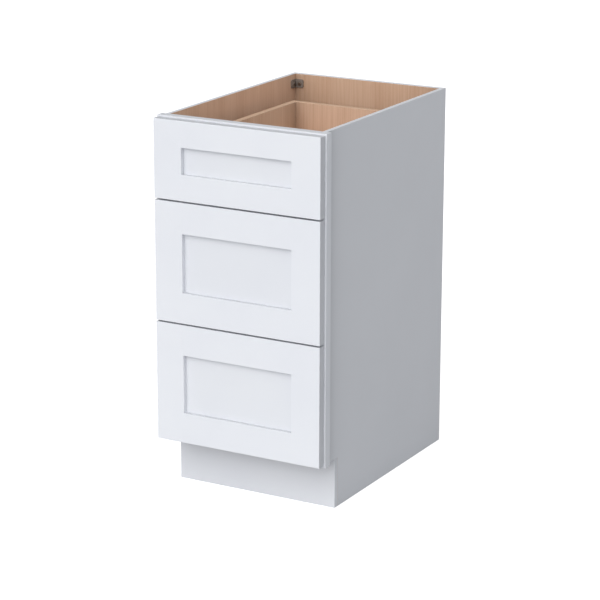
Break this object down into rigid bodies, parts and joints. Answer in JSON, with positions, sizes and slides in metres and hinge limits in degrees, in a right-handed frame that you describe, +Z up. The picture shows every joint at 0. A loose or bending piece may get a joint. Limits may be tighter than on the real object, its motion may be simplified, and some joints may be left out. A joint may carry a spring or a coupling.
{
  "type": "vanity drawer base cabinet",
  "caption": "Framed vanity base cabinet with recessed-panel drawers on full-extension ball bearing slides, an open top and a toe kick.",
  "frame": {"origin": "centre of the plan outline, on the floor", "axes": "+X to the right seen from the front, the drawers open towards -Y, +Z up"},
  "size_m": [0.381, 0.5524, 0.7747],
  "materials": {
    "painted_white": "satin white paint",
    "maple": "clear coated maple veneer plywood",
    "zinc_steel": "zinc plated cold rolled sheet",
    "bearing_steel": "polished balls in a stamped cage",
    "screw_steel": "zinc plated",
    "bracket_plastic": "moulded"
  },
  "bodies": {
    "case": {"left_side_panel": "painted_white", "right_side_panel": "painted_white", "back_panel": "maple", "floor_panel": "maple", "toe_kick_board": "painted_white", "frame_left_stile": "painted_white", "frame_right_stile": "painted_white", "frame_top_rail": "painted_white", "frame_upper_rail": "painted_white", "frame_lower_rail": "painted_white", "frame_bottom_rail": "painted_white", "corner_brackets": "bracket_plastic", "rear_slide_brackets": "zinc_steel", "cabinet_slide_members": "zinc_steel", "cabinet_screws": "screw_steel"},
    "top_drawer": {"top_front_left_stile": "painted_white", "top_front_right_stile": "painted_white", "top_front_top_rail": "painted_white", "top_front_bottom_rail": "painted_white", "top_front_panel": "painted_white", "top_box_left_side": "maple", "top_box_right_side": "maple", "top_box_front": "maple", "top_box_back": "maple", "top_box_bottom": "maple", "top_slide_drawer_members": "zinc_steel", "top_drawer_screws": "screw_steel"},
    "top_intermediates": {"top_slide_intermediate_members": "zinc_steel"},
    "top_outer_cages": {"top_slide_outer_cages": "bearing_steel"},
    "top_inner_cages": {"top_slide_inner_cages": "bearing_steel"},
    "middle_drawer": {"middle_front_left_stile": "painted_white", "middle_front_right_stile": "painted_white", "middle_front_top_rail": "painted_white", "middle_front_bottom_rail": "painted_white", "middle_front_panel": "painted_white", "middle_box_left_side": "maple", "middle_box_right_side": "maple", "middle_box_front": "maple", "middle_box_back": "maple", "middle_box_bottom": "maple", "middle_slide_drawer_members": "zinc_steel", "middle_drawer_screws": "screw_steel"},
    "middle_intermediates": {"middle_slide_intermediate_members": "zinc_steel"},
    "middle_outer_cages": {"middle_slide_outer_cages": "bearing_steel"},
    "middle_inner_cages": {"middle_slide_inner_cages": "bearing_steel"},
    "bottom_drawer": {"bottom_front_left_stile": "painted_white", "bottom_front_right_stile": "painted_white", "bottom_front_top_rail": "painted_white", "bottom_front_bottom_rail": "painted_white", "bottom_front_panel": "painted_white", "bottom_box_left_side": "maple", "bottom_box_right_side": "maple", "bottom_box_front": "maple", "bottom_box_back": "maple", "bottom_box_bottom": "maple", "bottom_slide_drawer_members": "zinc_steel", "bottom_drawer_screws": "screw_steel"},
    "bottom_intermediates": {"bottom_slide_intermediate_members": "zinc_steel"},
    "bottom_outer_cages": {"bottom_slide_outer_cages": "bearing_steel"},
    "bottom_inner_cages": {"bottom_slide_inner_cages": "bearing_steel"}
  },
  "joints": [
    {"name": "top_drawer_slide", "type": "slide", "parent": "case", "child": "top_drawer", "axis": [0, -1, 0], "range_m": [0, 0.4572]},
    {"name": "top_intermediates_slide", "type": "slide", "parent": "case", "child": "top_intermediates", "axis": [0, -1, 0], "range_m": [0, 0.2287]},
    {"name": "top_outer_cages_slide", "type": "slide", "parent": "case", "child": "top_outer_cages", "axis": [0, -1, 0], "range_m": [0, 0.1144]},
    {"name": "top_inner_cages_slide", "type": "slide", "parent": "case", "child": "top_inner_cages", "axis": [0, -1, 0], "range_m": [0, 0.343]},
    {"name": "middle_drawer_slide", "type": "slide", "parent": "case", "child": "middle_drawer", "axis": [0, -1, 0], "range_m": [0, 0.4572]},
    {"name": "middle_intermediates_slide", "type": "slide", "parent": "case", "child": "middle_intermediates", "axis": [0, -1, 0], "range_m": [0, 0.2287]},
    {"name": "middle_outer_cages_slide", "type": "slide", "parent": "case", "child": "middle_outer_cages", "axis": [0, -1, 0], "range_m": [0, 0.1144]},
    {"name": "middle_inner_cages_slide", "type": "slide", "parent": "case", "child": "middle_inner_cages", "axis": [0, -1, 0], "range_m": [0, 0.343]},
    {"name": "bottom_drawer_slide", "type": "slide", "parent": "case", "child": "bottom_drawer", "axis": [0, -1, 0], "range_m": [0, 0.4572]},
    {"name": "bottom_intermediates_slide", "type": "slide", "parent": "case", "child": "bottom_intermediates", "axis": [0, -1, 0], "range_m": [0, 0.2287]},
    {"name": "bottom_outer_cages_slide", "type": "slide", "parent": "case", "child": "bottom_outer_cages", "axis": [0, -1, 0], "range_m": [0, 0.1144]},
    {"name": "bottom_inner_cages_slide", "type": "slide", "parent": "case", "child": "bottom_inner_cages", "axis": [0, -1, 0], "range_m": [0, 0.343]}
  ],
  "couplings": [
    {"joint": "top_intermediates_slide", "follows": "top_drawer_slide", "ratio": 0.5},
    {"joint": "top_outer_cages_slide", "follows": "top_drawer_slide", "ratio": 0.25},
    {"joint": "top_inner_cages_slide", "follows": "top_drawer_slide", "ratio": 0.75},
    {"joint": "middle_intermediates_slide", "follows": "middle_drawer_slide", "ratio": 0.5},
    {"joint": "middle_outer_cages_slide", "follows": "middle_drawer_slide", "ratio": 0.25},
    {"joint": "middle_inner_cages_slide", "follows": "middle_drawer_slide", "ratio": 0.75},
    {"joint": "bottom_intermediates_slide", "follows": "bottom_drawer_slide", "ratio": 0.5},
    {"joint": "bottom_outer_cages_slide", "follows": "bottom_drawer_slide", "ratio": 0.25},
    {"joint": "bottom_inner_cages_slide", "follows": "bottom_drawer_slide", "ratio": 0.75}
  ]
}
